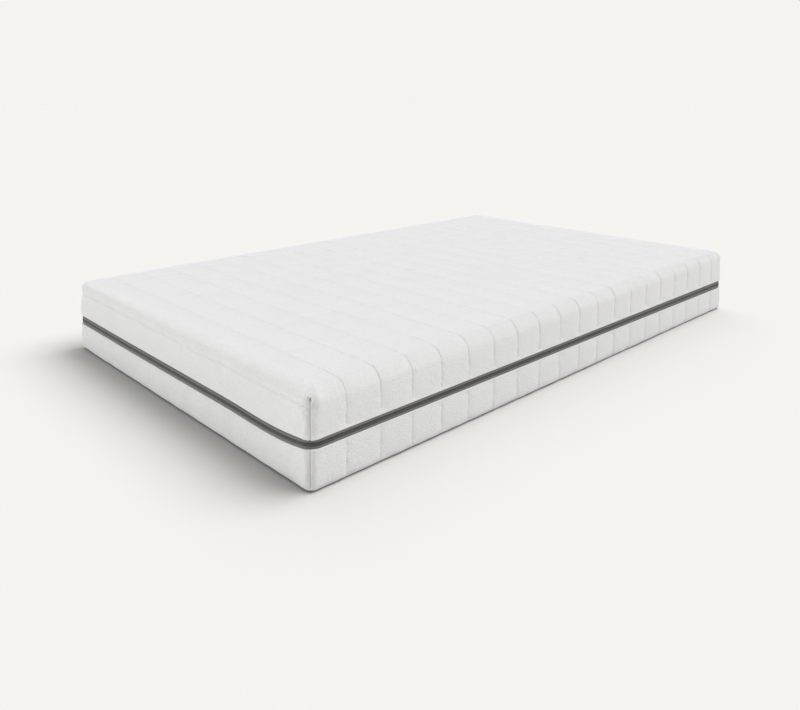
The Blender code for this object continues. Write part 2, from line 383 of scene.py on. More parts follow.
def metal_material(shade):
    """Cast and tumbled zinc, a little duller in its hollows."""
    material, tree = new_material("slider_zinc")
    place = coordinates(tree, "Object")
    cast = texture(tree, "Noise", place, 900.0, Detail=4.0)
    wear = texture(tree, "Noise", place, 160.0, Detail=2.0)
    colour = shaded(tree, wear, shade, (0.3, 0.82), (0.7, 1.1))
    surface(tree, colour, bump(tree, cast, 0.00004, 0.5), Metallic=1.0)
    rough = node(tree, "ShaderNodeMapRange", None, Value=wear, To_Min=0.28, To_Max=0.46)
    tree.links.new(rough.outputs[0], tree.nodes["Principled BSDF"].inputs["Roughness"])
    return material


def foam_material(name, shade, cell, pit):
    """Open-cell foam: cells of about that size in metres, with some larger pits, darkened inside
    with painted shade.
    """
    material, tree = new_material(name)
    place = coordinates(tree, "Object")
    cells = texture(tree, "Voronoi", place, 1.0 / cell, output="Distance")
    pits = texture(tree, "Voronoi", place, 1.0 / pit, output="Distance")
    clouds = texture(tree, "Noise", place, 7.0, Detail=4.0)
    open_pits = shaded(tree, pits, WHITE, (0.08, 0.0), (0.2, 1.0))
    height = math_node(tree, "ADD", math_node(tree, "MULTIPLY", cells, 0.7), open_pits)
    # Painted shade: the colour is darker inside the pits.
    colour = multiplied(
        tree,
        shaded(tree, clouds, shade, (0.3, 0.95), (0.7, 1.03)),
        shaded(tree, pits, WHITE, (0.06, 0.72), (0.16, 1.0)),
    )
    surface(
        tree, colour, bump(tree, height, 0.0005, 0.6), Roughness=0.95, Subsurface_Weight=0.08,
        Subsurface_Radius=(0.004, 0.004, 0.003),
    )
    return material


def floor_material(shade):
    """Plain matt studio floor."""
    material, tree = new_material("studio_floor")
    clouds = texture(tree, "Noise", coordinates(tree, "Object"), 0.6, Detail=2.0)
    colour = shaded(tree, clouds, shade, (0.3, 0.995), (0.7, 1.005))
    surface(tree, colour, None, Roughness=1.0, Specular_IOR_Level=0.0)
    return material


# ---------------------------------------------------------------- shapes


def ripple(points, wavelength, seed, waves=7):
    """Smooth waves of about that length and of height 1, the same on every run."""
    random = np.random.default_rng(seed)
    total = np.zeros(len(points))
    for _ in range(waves):
        direction = random.normal(size=points.shape[1])
        direction /= np.linalg.norm(direction)
        span = wavelength * random.uniform(0.7, 1.5)
        total += np.sin(points @ direction * 2 * math.pi / span + random.uniform(0, 2 * math.pi))
    return total / math.sqrt(waves)


def smooth_step(value, low, high):
    share = np.clip((value - low) / (high - low), 0.0, 1.0)
    return share * share * (3 - 2 * share)


def bell(value, width):
    return np.exp(-((value / width) ** 2))


def even(low, high, count):
    return list(np.linspace(low, high, count + 1))


def joined(*runs):
    """Grid lines in order, without the doubles where two runs meet."""
    lines = []
    for run in runs:
        for value in run:
            if not lines or value - lines[-1] > 1e-7:
                lines.append(value)
    return np.array(lines)


# Grid distances in mm: from a stitched line to the middle of its channel, from an edge to the
# end of its round, down the upper edge's round, and from the hem. Each has an even number of
# steps, so that every second grid line still falls on every seam.
FROM_SEAM = (0.0, 1.2, 2.8, 5.5, 9.5, 16.0, 25.0, 36.0, 50.0)
FROM_CORNER = (0.0, 1.3, 2.7, 4.2, 6.0, 8.0, 10.5, 13.5, 17.0, 21.0, 25.5, 30.0, 34.0)
DOWN_THE_EDGE = (
    0.0, 1.6, 3.5, 5.5, 7.5, 9.0, 10.5, 12.0, 13.5, 15.0, 16.5, 18.0, 19.5, 21.0, 23.0, 25.0,
    27.5, 30.5, 34.0,
)
FROM_RIM = (0.0, 0.5, 1.1, 1.9, 3.0, 4.6, 7.0, 10.0, 14.0)


def quilt_lines(cover):
    pitch = 2 * HALF_LENGTH / cover.channels
    return [(index + 1) * pitch - HALF_LENGTH for index in range(cover.channels - 1)]


def width_lines(cover, steps):
    edge = cover.soft_edge
    corner = [HALF_WIDTH - distance * edge / FROM_CORNER[-1] for distance in FROM_CORNER]
    middle = even(-(HALF_WIDTH - edge), HALF_WIDTH - edge, steps)
    return joined([-value for value in corner], middle, corner[::-1])


def length_lines(cover):
    edge = cover.soft_edge
    lines = quilt_lines(cover)
    half_pitch = (lines[1] - lines[0]) / 2
    scale = half_pitch / FROM_SEAM[-1]
    away = [distance * scale for distance in FROM_SEAM]
    corner = [HALF_LENGTH - distance * edge / FROM_CORNER[-1] for distance in FROM_CORNER]
    runs = [[-value for value in corner], even(-(HALF_LENGTH - edge), lines[0] - half_pitch, 2)]
    for line in lines:
        runs.append([line - distance for distance in away[::-1]])
        runs.append([line + distance for distance in away])
    runs.append(even(lines[-1] + half_pitch, HALF_LENGTH - edge, 2))
    runs.append(corner[::-1])
    return joined(*runs)


def upper_drops(cover):
    """Distances below the lying surface of the rows of the upper side wall."""
    edge = cover.soft_edge
    arc = [distance * edge / DOWN_THE_EDGE[-1] for distance in DOWN_THE_EDGE]
    line = TOP_Z - cover.end_line_z
    wall = TOP_Z - UPPER_RIM_Z
    near = [line + distance * MM for distance in FROM_SEAM[:5]]
    rim = [wall - distance * MM for distance in FROM_RIM[::-1]]
    before = [line - distance * MM for distance in FROM_SEAM[3::-1] if line - distance * MM > edge]
    return even_steps(joined(arc, before, near, even(near[-1], rim[0], 6), rim))


def lower_drops(cover):
    """Distances above the underside of the rows of the lower side wall."""
    edge = cover.base_edge
    arc = [distance * edge / FROM_CORNER[-1] for distance in FROM_CORNER]
    rim = [LOWER_RIM_Z - distance * MM for distance in FROM_RIM[::-1]]
    return even_steps(joined(arc, even(edge, rim[0], 8), rim))


def even_steps(lines):
    """The same grid lines, with one more in the widest step where their count needs it."""
    if len(lines) % 2:
        return lines
    widest = int(np.argmax(np.diff(lines)))
    return np.insert(lines, widest + 1, (lines[widest] + lines[widest + 1]) / 2)


class Skin:
    """One half of the mattress's surface, as a grid over a face and its four side walls.

    The grid is laid on a sharp box and rounded off afterwards. drops are the wall's rows,
    measured from the face. facing is +1 when the face is the top, -1 when it is the base.
    """

    def __init__(self, across, along, drops, face_z, facing, edge, corner, corner_at_face):
        self.across, self.along, self.drops = across, along, drops
        self.facing = facing
        self.columns, self.rows = len(across), len(along)
        grid_x, grid_y = np.meshgrid(across, along, indexing="ij")
        face = np.stack([grid_x.ravel(), grid_y.ravel(), np.zeros(grid_x.size)], 1)
        self.face_count = len(face)
        self.loop, self.side = self.outline()
        outline = face[self.loop]
        steps = np.linalg.norm(np.roll(outline, -1, axis=0) - outline, axis=1)
        self.around = np.concatenate([[0.0], np.cumsum(steps)[:-1]])
        self.perimeter = steps.sum()
        walls = [outline - (0.0, 0.0, drop) for drop in drops[1:]]
        sharp = np.concatenate([face, *walls])
        self.drop = -sharp[:, 2]
        self.round_off(sharp, edge, corner, corner_at_face)
        self.flatten()
        self.points[:, 2] = face_z + facing * self.points[:, 2]
        self.normals[:, 2] *= facing

    def outline(self):
        """The face's border vertices, anticlockwise from above, and the side each starts."""
        def index(i, j):
            return i * self.rows + j

        last_i, last_j = self.columns - 1, self.rows - 1
        loop = [index(i, 0) for i in range(last_i)]
        loop += [index(last_i, j) for j in range(last_j)]
        loop += [index(i, last_j) for i in range(last_i, 0, -1)]
        loop += [index(0, j) for j in range(last_j, 0, -1)]
        side = [0] * last_i + [1] * last_j + [2] * last_i + [3] * last_j
        return np.array(loop), np.array(side)

    def round_off(self, sharp, edge, corner, corner_at_face):
        """Moves each point of the sharp box onto a box with round edges and corners."""
        down = smooth_step(self.drop, edge, edge + 0.05)
        plan = corner_at_face + (corner - corner_at_face) * down
        core = np.empty_like(sharp)
        core[:, 0] = np.clip(sharp[:, 0], -(HALF_WIDTH - plan), HALF_WIDTH - plan)
        core[:, 1] = np.clip(sharp[:, 1], -(HALF_LENGTH - plan), HALF_LENGTH - plan)
        core[:, 2] = np.minimum(sharp[:, 2], -edge)
        radii = np.stack([plan, plan, np.full(len(plan), edge)], 1)
        out = (sharp - core) / radii
        out /= np.linalg.norm(out, axis=1)[:, None]
        self.points = core + out * radii
        self.normals = out / radii
        self.normals /= np.linalg.norm(self.normals, axis=1)[:, None]
        self.plan = plan

    def wall_ids(self, row):
        """Vertex numbers of a wall row; row 0 is the face's border."""
        if row == 0:
            return self.loop
        start = self.face_count + (row - 1) * len(self.loop)
        return np.arange(start, start + len(self.loop))

    def flatten(self):
        """Lengths along the cloth from the middle, across the width and along the length."""
        grid = self.points[: self.face_count].reshape(self.columns, self.rows, 3)
        steps_x = np.linalg.norm(np.diff(grid[:, self.rows // 2], axis=0), axis=1)
        steps_y = np.linalg.norm(np.diff(grid[self.columns // 2], axis=0), axis=1)
        flat_x = np.concatenate([[0], np.cumsum(steps_x)])
        flat_y = np.concatenate([[0], np.cumsum(steps_y)])
        flat_x -= flat_x[-1] / 2
        flat_y -= flat_y[-1] / 2
        self.flat_x = np.repeat(flat_x, self.rows)
        self.flat_y = np.tile(flat_y, self.columns)
        self.fall = np.zeros(self.face_count)
        fall = np.zeros(len(self.loop))
        for row in range(1, len(self.drops)):
            here, above = self.wall_ids(row), self.wall_ids(row - 1)
            fall = fall + np.linalg.norm(self.points[here] - self.points[above], axis=1)
            self.flat_x = np.concatenate([self.flat_x, self.flat_x[self.loop]])
            self.flat_y = np.concatenate([self.flat_y, self.flat_y[self.loop]])
            self.fall = np.concatenate([self.fall, fall])
        walls = len(self.drops) - 1
        self.on_end = np.concatenate([np.zeros(self.face_count), np.tile(self.end_share(), walls)])

    def end_share(self):
        """1 for the wall columns on the two short ends, 0 on the long sides."""
        before = np.roll(self.side, 1)
        return ((self.side % 2 == 0) | (before % 2 == 0)).astype(float)

    def along_cloth(self):
        """Where each point is along the length of the cloth, counting the short ends' walls."""
        return self.flat_y + np.sign(self.flat_y) * self.fall * self.on_end

    def from_corner(self):
        """Distance along the outline from the nearest upright seam, positive on the ends."""
        out_x = np.abs(self.points[:, 0]) - (HALF_WIDTH - self.plan)
        out_y = np.abs(self.points[:, 1]) - (HALF_LENGTH - self.plan)
        angle = np.arctan2(np.maximum(out_y, 0.0), np.maximum(out_x, 1e-9)) - math.pi / 4
        return angle * self.plan + np.maximum(-out_x, 0.0) - np.maximum(-out_y, 0.0)

    def faces(self):
        """Quads, and the side of each (-1 on the face)."""
        i, j = np.meshgrid(np.arange(self.columns - 1), np.arange(self.rows - 1), indexing="ij")
        first = (i * self.rows + j).ravel()
        quads = [np.stack([first, first + self.rows, first + self.rows + 1, first + 1], 1)]
        sides = [np.full(len(first), -1)]
        for row in range(len(self.drops) - 1):
            upper, lower = self.wall_ids(row), self.wall_ids(row + 1)
            quads.append(np.stack([upper, lower, np.roll(lower, -1), np.roll(upper, -1)], 1))
            sides.append(self.side)
        quads = np.concatenate(quads)
        if self.facing < 0:
            quads = quads[:, ::-1]
        return quads, np.concatenate(sides)

    def loop_uv(self, quads, sides):
        """The flattened cloth as a UV map, in metres, for each corner of each face."""
        ids = quads.ravel()
        side = np.repeat(sides, 4)
        u, v = self.flat_x[ids].copy(), self.flat_y[ids].copy()
        fall = self.fall[ids]
        u += np.select([side == 1, side == 3], [fall, -fall], 0.0)
        v += np.select([side == 2, side == 0], [fall, -fall], 0.0)
        return np.stack([u, v], 1)

    def moved(self, depth):
        return self.points - self.normals * depth[:, None]

    def shared_with(self, coarse):
        """Where the vertices of the skin on every second grid line are on this one."""
        i, j = np.meshgrid(np.arange(coarse.columns), np.arange(coarse.rows), indexing="ij")
        walls = [self.wall_ids(2 * row)[::2] for row in range(1, len(coarse.drops))]
        return np.concatenate([(2 * i * self.rows + 2 * j).ravel(), *walls])

    def spread_from(self, coarse, values):
        """Values of the coarse skin's vertices, spread over this one's."""
        sheet = values[: coarse.face_count].reshape(coarse.columns, coarse.rows)
        sheet = np.array([np.interp(self.along, coarse.along, line) for line in sheet])
        sheet = np.array([np.interp(self.across, coarse.across, line) for line in sheet.T]).T
        rings = []
        for row in range(len(coarse.drops)):
            ring = values[coarse.wall_ids(row)]
            rings.append(np.interp(self.around, coarse.around, ring, period=self.perimeter))
        columns = [np.interp(self.drops, coarse.drops, column) for column in np.array(rings).T]
        return np.concatenate([sheet.ravel(), np.array(columns).T[1:].ravel()])

    def deepest_near(self, depth, reach=2):
        """The greatest depth among each vertex and its neighbours."""
        quads, _ = self.faces()
        for _ in range(reach):
            deepest = depth[quads].max(axis=1)
            depth = depth.copy()
            np.maximum.at(depth, quads.ravel(), np.repeat(deepest, 4))
        return depth


def linked(name, data):
    """A new object with that data, in the scene."""
    obj = bpy.data.objects.new(name, data)
    bpy.context.scene.collection.objects.link(obj)
    return obj


def mesh_object(name, points, polygons, uv=None):
    """A smooth-shaded mesh object, with a UV map where one is given."""
    mesh = bpy.data.meshes.new(name)
    mesh.from_pydata(points.tolist(), [], [list(map(int, polygon)) for polygon in polygons])
    if uv is not None:
        layer = mesh.uv_layers.new(name="cloth")
        layer.data.foreach_set("uv", uv.astype(np.float32).ravel())
    mesh.shade_smooth()
    mesh.validate()
    return linked(name, mesh)


def closed_shell(name, outer, outer_depth, inner, inner_depth, material, lift):
    """A cloth layer: outer and inner skins joined at the rim.

    The inner skin may have only every second line of the outer one's grid. lift is a function
    that gives how far each of a skin's vertices moves up.
    """
    outer_quads, outer_sides = outer.faces()
    inner_quads, inner_sides = inner.faces()
    outer_points, inner_points = outer.moved(outer_depth), inner.moved(inner_depth)
    outer_points[:, 2] += lift(outer)
    inner_points[:, 2] += lift(inner)
    points = np.concatenate([outer_points, inner_points])
    start = len(outer_points)
    polygons = [*outer_quads.tolist(), *(inner_quads[:, ::-1] + start).tolist()]
    uvs = [
        outer.loop_uv(outer_quads, outer_sides), inner.loop_uv(inner_quads[:, ::-1], inner_sides)
    ]

    outer_rim = outer.wall_ids(len(outer.drops) - 1)
    inner_rim = inner.wall_ids(len(inner.drops) - 1) + start
    step = len(outer_rim) // len(inner_rim)
    rim_uv = []
    for index, near in enumerate(inner_rim):
        far = inner_rim[(index + 1) % len(inner_rim)]
        run = [outer_rim[(index * step + k) % len(outer_rim)] for k in range(step + 1)]
        ring = [*run, far, near]
        polygons.append(ring if outer.facing < 0 else ring[::-1])
        rim_uv += [(k * 0.001, index * 0.01) for k in range(len(ring))]
    uvs.append(np.array(rim_uv))
    obj = mesh_object(name, points, polygons, np.concatenate(uvs))
    obj.data.materials.append(material)
    return obj


def from_front_corner(x, y):
    """Shares of the way along the +X side from the foot end, and across from the +X side."""
    along = (HALF_LENGTH + y) / (2 * HALF_LENGTH)
    across = (HALF_WIDTH - x) / (2 * HALF_WIDTH)
    return np.clip(along, 0, 1), np.clip(across, 0, 1)


def zip_wobble(zipper, x, y):
    """How far the zip line is above its straight course, on the +X side and the foot end."""
    along, across = from_front_corner(x, y)
    # Highest at the front corner, with a dip beside it and a long flat run after that
    side = zipper.corner_rise * (1 - along)
    end = zipper.corner_rise * bell(across, 0.055) - zipper.sag * bell(across - 0.14, 0.10)
    end = end - 0.35 * zipper.sag * smooth_step(across, 0.2, 0.35) * smooth_step(across, 0.95, 0.7)
    side_share = smooth_step(HALF_WIDTH - x, 0.05, 0.0)
    end_share = smooth_step(HALF_LENGTH + y, 0.05, 0.0)
    return (side * side_share + end * end_share) / np.maximum(side_share + end_share, 1.0)


# How far each hem stands back from its straight edge, in mm: along the +X side from the foot
# end, and across the foot end from the +X side. A negative value covers more of the tape.
STANDS_BACK_ALONG = ((0, -1.4), (0.2, -1.1), (0.5, -0.3), (0.9, 1.8), (1, 2.0))
STANDS_BACK_ACROSS = ((0, -1.4), (0.06, 0.0), (0.2, 0.6), (0.5, 1.4), (1, 2.0))


def stands_back(x, y):
    """How far a hem stands back from its straight edge there."""
    courses = zip(from_front_corner(x, y), (STANDS_BACK_ALONG, STANDS_BACK_ACROSS))
    return np.maximum(*(np.interp(share, *zip(*course)) for share, course in courses)) * MM


def hem_lift(zipper, wall, facing):
    """A function that gives the lift of a skin's vertices, which fades out up or down the wall."""
    def lift(skin):
        x, y = skin.points[:, 0], skin.points[:, 1]
        share = smooth_step(skin.drop, wall * 0.25, wall)
        near = smooth_step(skin.drop, wall - 0.03, wall)
        return zip_wobble(zipper, x, y) * share + facing * stands_back(x, y) * near

    return lift


def quilted_depth(skin, cover, lines, seed):
    """How far the cloth lies below the crest of its channels, from the stitched lines in."""
    along = skin.along_cloth()
    place = np.clip(np.searchsorted(lines, along), 1, len(lines) - 1)
    before, after = lines[place - 1], lines[place]
    nearest = np.where(along - before < after - along, before, after)
    away = np.abs(along - nearest)
    half = (after - before) / 2
    broad = (1 - np.clip(away / half, 0, 1)) ** 3
    narrow = np.exp(-((away / cover.groove_width) ** 1.4))
    # The stitching bites deeper over the round edges, and deepest on the end walls
    slant = np.abs(skin.normals[:, 2])
    on_edge = 2 * slant * np.sqrt(np.clip(1 - slant**2, 0, 1))
    firmer = 1 + 0.25 * on_edge + 0.9 * skin.on_end * smooth_step(skin.drop, 0.030, 0.036)
    depth = (cover.crown * broad + cover.groove * narrow) * firmer
    depth -= cover.lip * bell(along - nearest + 0.0034, 0.0020)
    # Puckers beside the stitches, which die out towards the middle of the channel
    beside = np.exp(-away / 0.016) * (1 - 0.7 * narrow)
    sideways = np.stack([skin.flat_x + np.sign(skin.flat_x) * skin.fall, place * 0.37], 1)
    depth += cover.pucker * ripple(sideways, 0.034, seed) * beside * (1 + 1.2 * on_edge)
    # The slow unevenness of a soft cover
    soft = np.stack([skin.flat_x, along], 1)
    depth += 0.0005 * (1 + ripple(soft, 0.23, seed + 1)) + 0.00012 * ripple(soft, 0.075, seed + 2)
    depth += 0.0004 * on_edge * (1 + ripple(soft, 0.045, seed + 5))
    return depth


def ease_depth(cover, points, upness):
    """How far the upper edge is pressed in near the front corner, and out at the far ones.

    upness is the upward part of each point's normal.
    """
    inside = np.maximum(
        np.abs(points[:, 0]) - HALF_WIDTH + cover.soft_edge,
        np.abs(points[:, 1]) - HALF_LENGTH + cover.soft_edge,
    )
    below = TOP_Z - cover.soft_edge - points[:, 2]
    turned = np.abs(np.arcsin(np.clip(upness, 0, 1)) - math.pi / 4) * cover.soft_edge
    distance = turned + np.maximum(-inside, 0) + np.maximum(below, 0)
    far = np.maximum(*from_front_corner(points[:, 0], points[:, 1]))
    pressed = 1 - 2 * smooth_step(far, 0.2, 1.0)
    return cover.edge_ease * pressed * bell(distance, 0.023 + 0.009 * pressed)


def rim_depth(cover, from_rim):
    """The hem at the zip: the cloth swells over its folded edge, then turns in."""
    turn = np.clip(1 - from_rim / 0.0019, 0, 1)
    return 0.0007 + cover.hem_roll * turn**2 - 0.0005 * bell(from_rim - 0.0030, 0.0018)


def corner_seam_depth(skin):
    """The upright seam at each corner, with a tuck of cloth at its upper end on the top half."""
    away = skin.from_corner()
    down = skin.drop - SEAM_START[skin.facing]
    below = smooth_step(down, 0.0, 0.005)
    # The seam's groove, the fold on one side of it, and the cloth drawn in beside it
    depth = (0.0030 * bell(away, 0.0012) - 0.0012 * bell(away + 0.0031, 0.0016)) * below
    depth += 0.0007 * bell(away - 0.004, 0.006) * below
    if skin.facing < 0:
        # The far edge of the fold
        return depth + 0.0006 * bell(away + 0.0058, 0.0010) * below
    # The tuck: its opening, the fold and the cap over it, and the fuller cloth on both sides
    opening = bell(away - 0.0008, 0.0016 + 0.0024 * bell(down - 0.0060, 0.0100))
    depth += 0.0070 * opening * bell(down - 0.0060, 0.0100) * smooth_step(down, -0.0030, 0.001)
    depth -= 0.0016 * bell(away + 0.0042, 0.0022) * bell(down - 0.008, 0.010)
    depth -= 0.0014 * bell(away, 0.0065) * bell(down + 0.0048, 0.0036)
    fuller = np.where(away > 0, 0.0012, 0.0026)
    depth -= fuller * bell(np.abs(away) - 0.017, 0.013) * bell(down - 0.004, 0.017)
    return depth


def cover_skin(cover, facing, coarse=False):
    """The top half's skin where facing is 1, and the base half's where it is -1."""
    if facing > 0:
        face_z, steps, drops = TOP_Z, FACE_STEPS, upper_drops(cover)
        edge = corner_at_face = cover.soft_edge
    else:
        face_z, steps, drops = 0.0, BASE_STEPS, lower_drops(cover)
        edge, corner_at_face = cover.base_edge, cover.corner_radius
    across, along = width_lines(cover, steps), length_lines(cover)
    if coarse:
        across, along, drops = across[::2], along[::2], drops[::2]
    return Skin(across, along, drops, face_z, facing, edge, cover.corner_radius, corner_at_face)


def seam_lines(skin, cover, end_drop):
    """Stitched lines along the flattened cloth, one on each end wall if it has one, and hems."""
    flat = skin.flat_y[: skin.rows]
    inner = [float(np.interp(line, skin.along, flat)) for line in quilt_lines(cover)]
    edge = float(skin.flat_y[skin.rows - 1])
    wall_fall = skin.fall[skin.wall_ids(len(skin.drops) - 1)[skin.columns // 2]]
    if end_drop is None:
        return np.array([-edge - wall_fall - 0.02, *inner, edge + wall_fall + 0.02])
    column = [skin.fall[skin.wall_ids(row)[skin.columns // 2]] for row in range(len(skin.drops))]
    end = edge + float(np.interp(end_drop, skin.drops, column))
    far = edge + wall_fall + 0.03
    return np.array([-far, -end, *inner, end, far])


def upper_depth(skin, cover, lines, puff=0.0):
    """Depth of the top half's outer face below its smooth skin."""
    from_rim = TOP_Z - UPPER_RIM_Z - skin.drop
    depth = (quilted_depth(skin, cover, lines, seed=3) - puff) * smooth_step(from_rim, 0.0, 0.012)
    depth += corner_seam_depth(skin)
    eased = ease_depth(cover, skin.points, skin.normals[:, 2])
    depth += eased * np.where(eased > 0, 1 - 0.6 * bell(skin.from_corner(), 0.03), 1.0)
    return depth + rim_depth(cover, from_rim)


def lower_depth(skin, cover, lines, puff=0.0):
    """Depth of the base half's outer face inside its smooth skin; the underside is nearly flat."""
    from_rim = LOWER_RIM_Z - skin.drop
    upright = smooth_step(skin.drop, 0.0, cover.base_edge)
    clear = smooth_step(from_rim, 0.0, 0.012) * (0.15 + 0.85 * upright)
    depth = (quilted_depth(skin, cover, lines, seed=23) - puff) * clear
    return depth + (corner_seam_depth(skin) + rim_depth(cover, from_rim)) * upright


def sewn_down(skin, lines, seam_drop):
    """Which of a skin's points the stitching, the seams and the hem hold."""
    along = skin.along_cloth()
    nearest = np.abs(along[:, None] - lines[None, :]).min(axis=1)
    on_seam = (np.abs(skin.from_corner()) < 0.0012) & (skin.drop > seam_drop)
    held = (nearest < 0.0008) | on_seam | (skin.drop > skin.drops[-1] - 0.004)
    return held | (skin.drop < 0.001) if skin.facing < 0 else held


def filled(skin, depth, held, cover):
    """How far the filling pushes the cloth out between its seams, from a cloth simulation."""
    quads, _ = skin.faces()
    start = skin.moved(depth + 0.00015 * ripple(skin.points, 0.05, 77))
    cloth = mesh_object("cloth_between_seams", start, quads.tolist())
    # Pinned along the seams, light and stretchy enough to swell, with a steady push from behind
    group = cloth.vertex_groups.new(name="sewn_down")
    group.add(np.flatnonzero(held).tolist(), 1.0, "REPLACE")
    modifier = cloth.modifiers.new("Cloth", "CLOTH")
    settings = modifier.settings
    settings.quality = 4
    settings.mass = 0.35
    settings.tension_stiffness = settings.compression_stiffness = 12.0
    settings.shear_stiffness = 4.0
    settings.bending_stiffness = 0.3
    settings.vertex_group_mass = group.name
    settings.use_pressure = True
    settings.uniform_pressure_force = 4.0
    settings.shrink_min = -0.012
    settings.effector_weights.gravity = 0.0
    modifier.collision_settings.use_collision = False
    modifier.point_cache.frame_start, modifier.point_cache.frame_end = 1, SETTLING_FRAMES
    scene = bpy.context.scene
    for moment in range(1, SETTLING_FRAMES + 1):
        scene.frame_set(moment)
    settled = cloth.evaluated_get(bpy.context.evaluated_depsgraph_get()).data
    after = np.empty(len(start) * 3, np.float32)
    settled.vertices.foreach_get("co", after)
    out = ((after.reshape(-1, 3) - start) * skin.normals).sum(axis=1)
    bpy.data.objects.remove(cloth)
    scene.frame_set(1)
    return cover.puff * np.tanh(out / cover.puff)


# ---------------------------------------------------------------- geometry nodes


def stitch_tree(name):
    """Geometry nodes: small beads laid one after another along the guide lines."""
    tree = bpy.data.node_groups.new(name, "GeometryNodeTree")
    face = tree.interface
    face.new_socket("Geometry", in_out="INPUT", socket_type="NodeSocketGeometry")
    for label in ("Pitch", "Stitch length", "Stitch width", "Stitch height"):
        face.new_socket(label, in_out="INPUT", socket_type="NodeSocketFloat")
    face.new_socket("Thread", in_out="INPUT", socket_type="NodeSocketMaterial")
    face.new_socket("Geometry", in_out="OUTPUT", socket_type="NodeSocketGeometry")
    inputs = tree.nodes.new("NodeGroupInput").outputs
    curve = node(tree, "GeometryNodeMeshToCurve", None, Mesh=inputs["Geometry"])
    spread = node(
        tree, "GeometryNodeResampleCurve", {"mode": "LENGTH"},
        Curve=curve.outputs[0], Length=inputs["Pitch"],
    )
    to_points = node(
        tree, "GeometryNodeCurveToPoints", {"mode": "EVALUATED"}, Curve=spread.outputs[0]
    )
    ball = node(tree, "GeometryNodeMeshUVSphere", None, Segments=6, Rings=4, Radius=0.5)
    size = node(
        tree, "ShaderNodeCombineXYZ", None, X=inputs["Stitch width"], Y=inputs["Stitch height"],
        Z=inputs["Stitch length"],
    )
    placed = node(
        tree, "GeometryNodeInstanceOnPoints", None, Points=to_points.outputs["Points"],
        Instance=ball.outputs["Mesh"], Rotation=to_points.outputs["Rotation"],
        Scale=size.outputs[0],
    )
    real = node(tree, "GeometryNodeRealizeInstances", None, Geometry=placed.outputs[0])
    soft = node(tree, "GeometryNodeSetShadeSmooth", None, Geometry=real.outputs[0])
    coloured = node(
        tree, "GeometryNodeSetMaterial", None, Geometry=soft.outputs[0], Material=inputs["Thread"]
    )
    out = tree.nodes.new("NodeGroupOutput")
    tree.links.new(coloured.outputs[0], out.inputs["Geometry"])
    return tree


def run_nodes(guide, tree, name, values):
    """The guide's evaluated nodes as a plain mesh object; the guide is removed."""
    modifier = guide.modifiers.new("Repeats", "NODES")
    modifier.node_group = tree
    sockets = {
        item.name: item.identifier
        for item in tree.interface.items_tree
        if item.item_type == "SOCKET" and item.in_out == "INPUT"
    }
    for label, value in values.items():
        modifier[sockets[label]] = value
    depsgraph = bpy.context.evaluated_depsgraph_get()
    mesh = bpy.data.meshes.new_from_object(guide.evaluated_get(depsgraph), depsgraph=depsgraph)
    mesh.name = name
    if not mesh.polygons:
        raise RuntimeError(f"{name}: the nodes made no faces")
    bpy.data.objects.remove(guide)
    return linked(name, mesh)


def guide_lines(name, paths):
    """A mesh of loose edges, one open chain for each path."""
    points, edges = [], []
    for path in paths:
        start = len(points)
        points.extend(path.tolist())
        edges.extend((start + k, start + k + 1) for k in range(len(path) - 1))
    mesh = bpy.data.meshes.new(name)
    mesh.from_pydata(points, edges, [])
    return linked(name, mesh)


def quilting_paths(skin, points, cover, end_drop):
    """Chains of points along each stitched line: down both long sides, and on the top half also
    over the face and across each end wall."""
    paths = []
    rows = len(skin.drops) - 3
    grid = np.arange(skin.face_count).reshape(skin.columns, skin.rows)
    width, last = skin.columns - 1, skin.rows - 1
    for line in quilt_lines(cover):
        j = int(np.argmin(np.abs(skin.along - line)))
        right = [skin.wall_ids(row)[width + j] for row in range(1, rows)]
        left = [skin.wall_ids(row)[2 * width + 2 * last - j] for row in range(1, rows)]
        if end_drop is None:
            paths += [points[left], points[right]]
        else:
            paths.append(points[left[::-1] + list(grid[:, j]) + right])
    if end_drop is not None:
        ids = skin.wall_ids(int(np.argmin(np.abs(skin.drops - end_drop))))
        paths += [points[ids[4:width - 3]], points[ids[width + last + 4:2 * width + last - 3]]]
    return paths


def sewn(name, paths, cover):
    """Stitches of thread along the paths."""
    guide = guide_lines(f"{name}_guide", paths)
    return run_nodes(guide, stitch_tree(f"{name}_nodes"), name, {
        "Pitch": cover.stitch_pitch,
        "Stitch length": cover.stitch_pitch * 0.86,
        "Stitch width": cover.thread * 1.6,
        "Stitch height": cover.thread * 1.2,
        "Thread": thread_material(f"{name}_thread", cover.thread_colour),
    })


# ---------------------------------------------------------------- zip


def plan_outline(inset, radius, step):
    """Points round the mattress's outline at about that step, anticlockwise from above."""
    x, y, r = HALF_WIDTH - inset, HALF_LENGTH - inset, radius - inset
    corners = ((x - r, -y + r, -90), (x - r, y - r, 0), (-x + r, y - r, 90), (-x + r, -y + r, 180))
    points = []
    arc_steps = max(6, int(round(r * math.pi / 2 / step)))
    for centre_x, centre_y, start in corners:
        for k in range(arc_steps + 1):
            angle = math.radians(start + 90 * k / arc_steps)
            points.append((centre_x + r * math.cos(angle), centre_y + r * math.sin(angle)))
    dense = []
    for (ax, ay), (bx, by) in zip(points, points[1:] + points[:1]):
        count = max(1, int(round(math.hypot(bx - ax, by - ay) / step)))
        dense += [(ax + (bx - ax) * k / count, ay + (by - ay) * k / count) for k in range(count)]
    return np.array(dense)


def outward(outline):
    """The outward direction at each point of an outline."""
    ahead, behind = np.roll(outline, -1, axis=0), np.roll(outline, 1, axis=0)
    run = ahead - behind
    run /= np.linalg.norm(run, axis=1)[:, None]
    return np.stack([run[:, 1], -run[:, 0]], 1)


